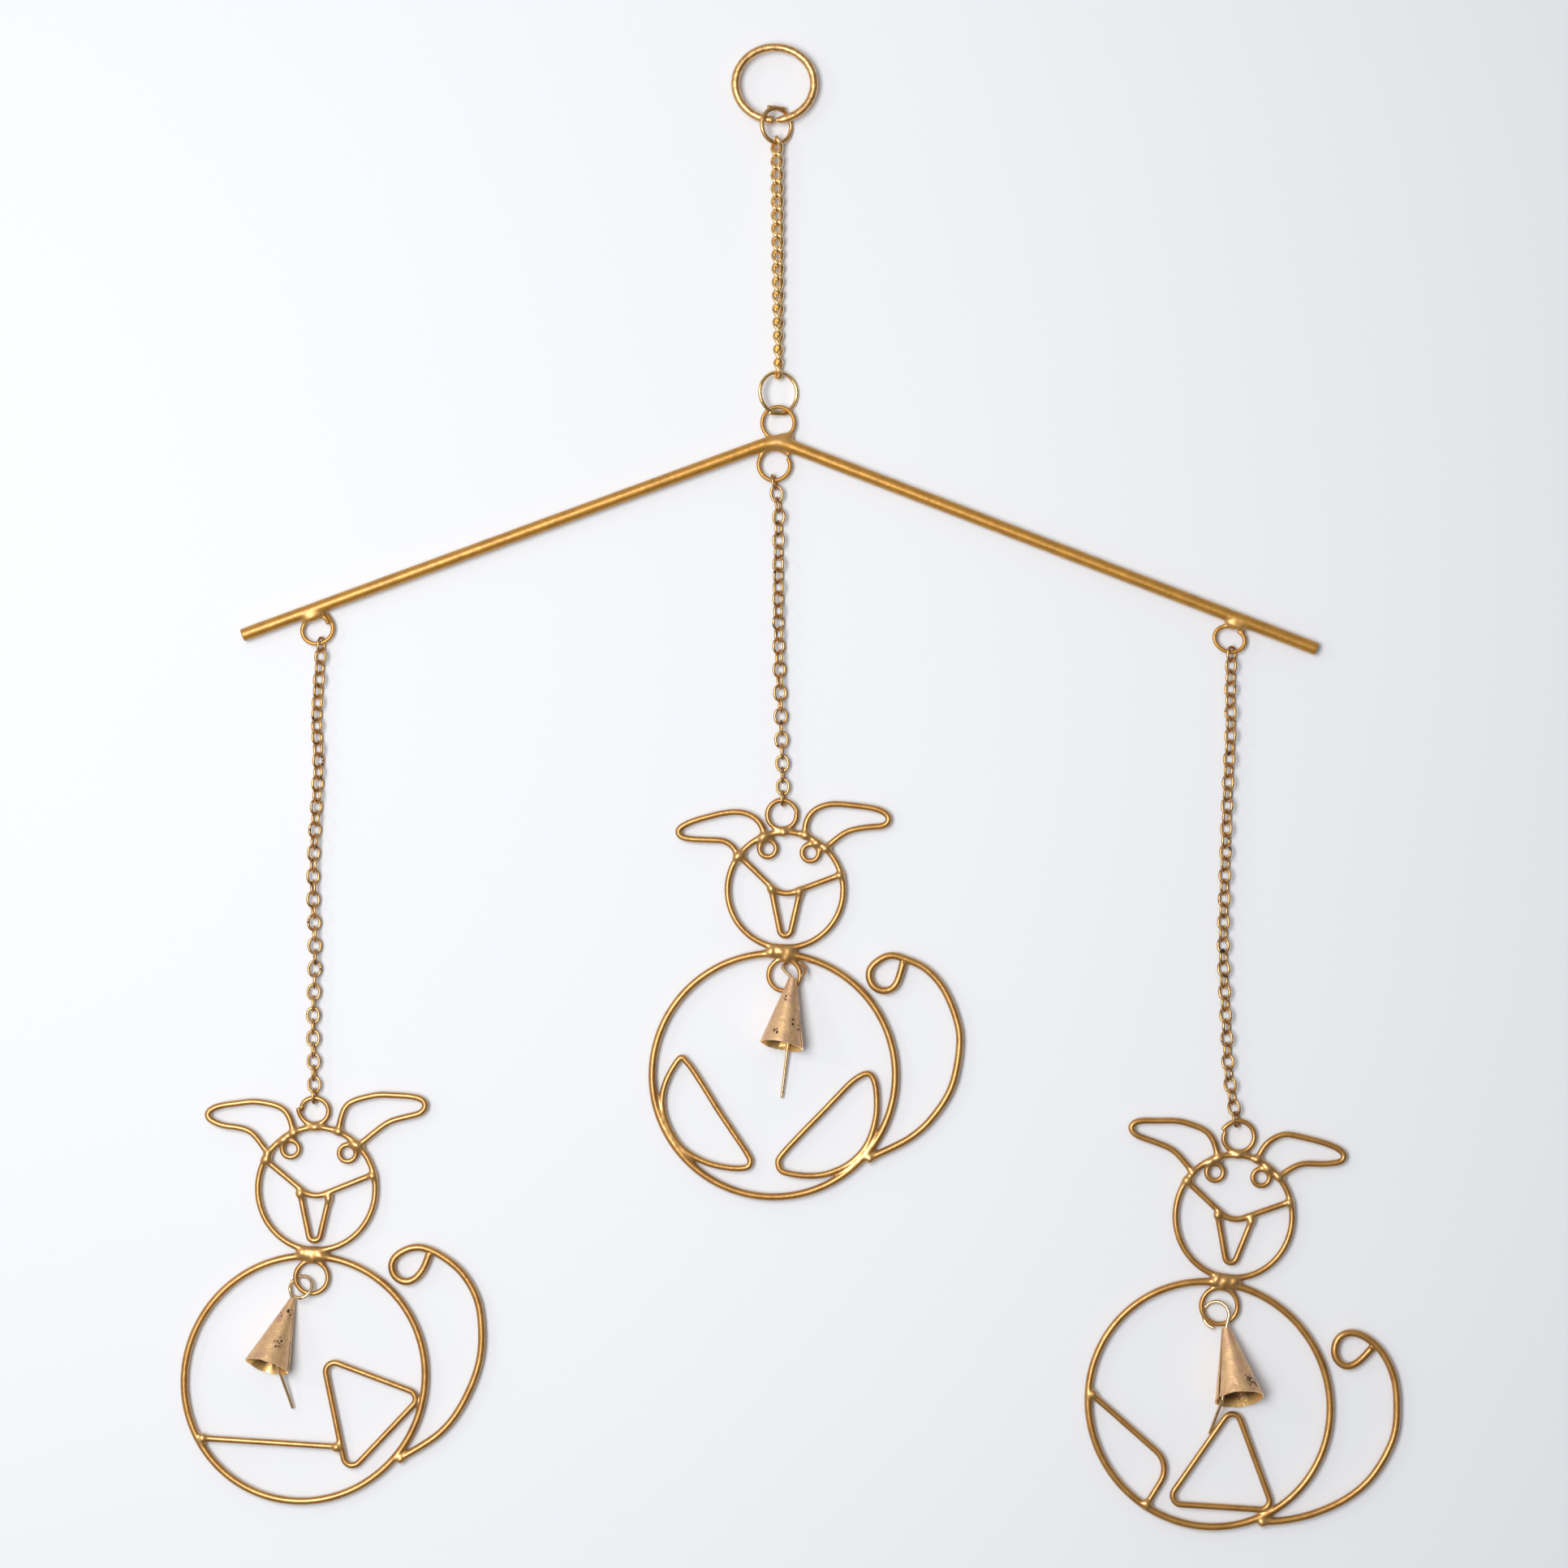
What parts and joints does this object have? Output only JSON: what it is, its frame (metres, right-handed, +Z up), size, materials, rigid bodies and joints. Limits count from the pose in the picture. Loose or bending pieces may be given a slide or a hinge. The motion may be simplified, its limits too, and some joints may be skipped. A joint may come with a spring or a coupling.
{
  "type": "iron wind chime",
  "caption": "Wire cats with cone bells, hung by fine chains from a bent crossbar on a ring: a wind chime that rings when the clappers swing.",
  "frame": {"origin": "inner top of the hanging ring, where a hook carries the chime", "axes": "+Z up, -Y towards the viewer's side of the flat cats, +X to that viewer's right along the crossbar"},
  "size_m": [0.4518, 0.0197, 0.5503],
  "materials": {
    "gold_plate": "bright gold plating on steel wire",
    "gold_paint": "satin gold paint on iron",
    "chain_bronze": "bronze-gold plating",
    "bell_brass": "mottled antique brass",
    "wire_brass": "pale brass wire"
  },
  "bodies": {
    "root": {"hanging_ring": "gold_plate", "top_jump_ring": "gold_plate", "suspension_chain": "gold_plate", "lower_jump_ring": "gold_plate", "crossbar": "gold_paint", "left_chain": "chain_bronze", "centre_chain": "chain_bronze", "right_chain": "chain_bronze", "left_cat": "gold_paint", "centre_cat": "gold_paint", "right_cat": "gold_paint", "left_bell": "bell_brass", "centre_bell": "bell_brass", "right_bell": "bell_brass", "left_bell_wire": "wire_brass", "centre_bell_wire": "wire_brass", "right_bell_wire": "wire_brass", "left_clapper": "wire_brass", "centre_clapper": "wire_brass", "right_clapper": "wire_brass"}
  },
  "joints": []
}
